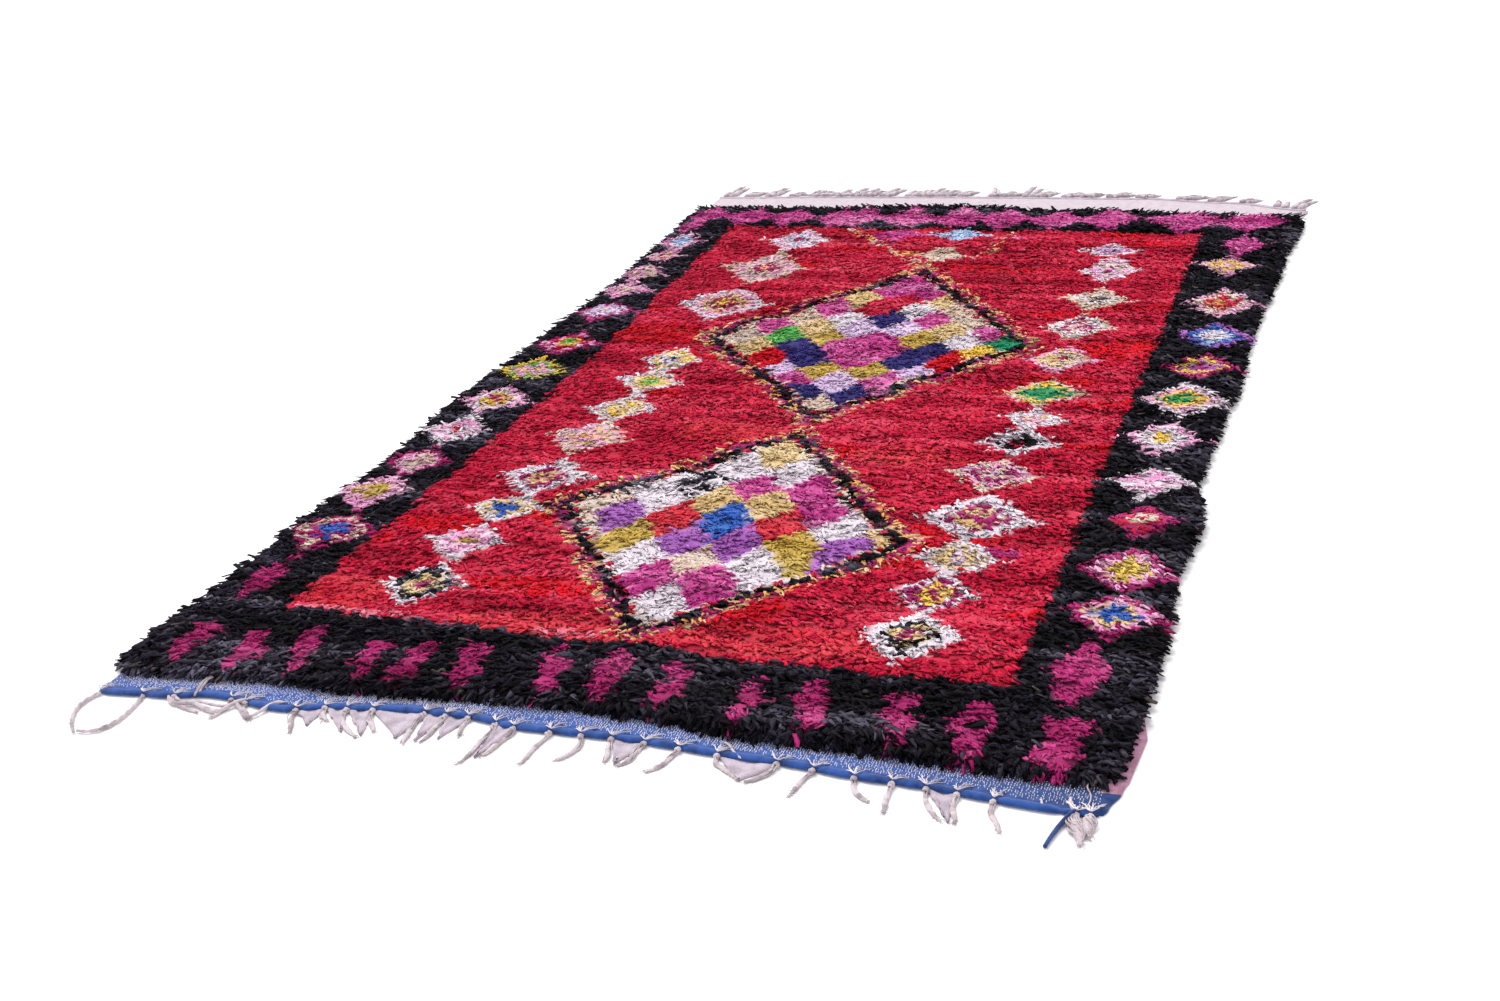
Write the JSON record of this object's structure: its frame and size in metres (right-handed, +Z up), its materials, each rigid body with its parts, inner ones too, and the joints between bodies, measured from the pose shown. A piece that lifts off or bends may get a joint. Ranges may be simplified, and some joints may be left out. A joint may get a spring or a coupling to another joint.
{
  "type": "boucherouite rug",
  "caption": "Shaggy rag-pile rug lying flat: lozenges on a red field, dark border, flat-woven end bands and knotted warp fringes.",
  "frame": {"origin": "on the floor, under the middle of the rug's bounding box", "axes": "+X to the right along the rug's width seen from the near (blue) end, +Y along its length towards the far (pale) end, +Z up out of the pile"},
  "size_m": [1.5648, 2.9434, 0.0275],
  "materials": {
    "ground_cloth": "matt plain weave of cotton and wool, pink under the pile, blue at the near end and pale at the far end",
    "rag_pile": "soft matt rag strips with frayed ends, mixed reds in the field, charcoal in the border",
    "warp_fringe": "twisted undyed warp yarn, knotted and frayed"
  },
  "bodies": {
    "root": {"ground_cloth": "ground_cloth", "pile": "rag_pile", "near_fringe": "warp_fringe", "far_fringe": "warp_fringe"}
  },
  "joints": []
}
